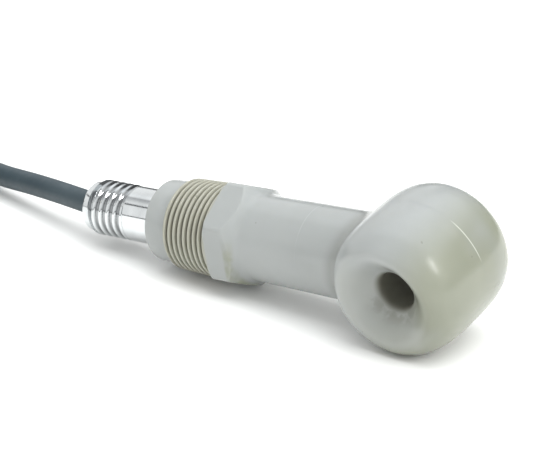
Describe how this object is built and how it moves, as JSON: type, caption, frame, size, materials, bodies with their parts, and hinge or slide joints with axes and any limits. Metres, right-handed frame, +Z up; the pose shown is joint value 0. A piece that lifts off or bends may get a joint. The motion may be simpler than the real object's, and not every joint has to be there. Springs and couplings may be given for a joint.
{
  "type": "inductive conductivity sensor",
  "caption": "Potted plastic probe with a flow hole through its rounded head, a hexagon and taper pipe thread on its stem, a stainless nipple and a coiled signal lead.",
  "frame": {"origin": "on the surface that the probe lies on, under the middle of the probe without its lead", "axes": "+X along the stem towards the head as seen from above, +Z up; the stem rises 5.2 degrees towards the head and the probe is rolled 12.2 degrees about it"},
  "size_m": [0.3042, 0.1084, 0.0422],
  "materials": {
    "housing_plastic": "satin",
    "stainless": "turned and polished",
    "seal_rubber": "matt",
    "brass_crimp": "satin",
    "lead_jacket": "smooth, slightly glossy",
    "heat_shrink": "satin",
    "ferrite": "matt",
    "magnet_wire": "enamelled",
    "shield_copper": "satin",
    "spacer_plastic": "matt",
    "sensor_ceramic": "matt",
    "potting_resin": "glossy",
    "tie_fabric": "woven",
    "tinned_copper": "bright",
    "core_insulation_white": "satin",
    "core_insulation_black": "satin",
    "core_insulation_red": "satin",
    "core_insulation_green": "satin",
    "core_insulation_blue": "satin",
    "core_insulation_yellow": "satin"
  },
  "bodies": {
    "root": {"head_shell": "housing_plastic", "head_cap": "housing_plastic", "rear_body": "housing_plastic", "nipple": "stainless", "nipple_seal": "seal_rubber", "cable_grommet": "seal_rubber", "grommet_washer": "stainless", "gland_screw": "stainless", "cable_ferrule": "brass_crimp", "cable_inner_end": "lead_jacket", "probe_cores": "core_insulation_white", "splice_sleeves": "heat_shrink", "drive_leads": "core_insulation_red", "pickup_leads": "core_insulation_blue", "sensor_leads": "core_insulation_yellow", "drive_core": "ferrite", "drive_winding": "magnet_wire", "drive_shield": "shield_copper", "pickup_core": "ferrite", "pickup_winding": "magnet_wire", "pickup_shield": "shield_copper", "core_spacer": "spacer_plastic", "sensor_sleeve": "shield_copper", "temperature_sensor": "sensor_ceramic", "head_potting": "potting_resin", "stem_potting": "potting_resin", "cable_lead": "lead_jacket", "cable_coil": "lead_jacket", "coil_ties": "tie_fabric", "end_boot": "heat_shrink", "core_white": "core_insulation_white", "core_black": "core_insulation_black", "core_red": "core_insulation_red", "core_green": "core_insulation_green", "core_blue": "core_insulation_blue", "core_yellow": "core_insulation_yellow", "drain_wire": "tinned_copper", "end_ferrules": "tinned_copper"}
  },
  "joints": []
}
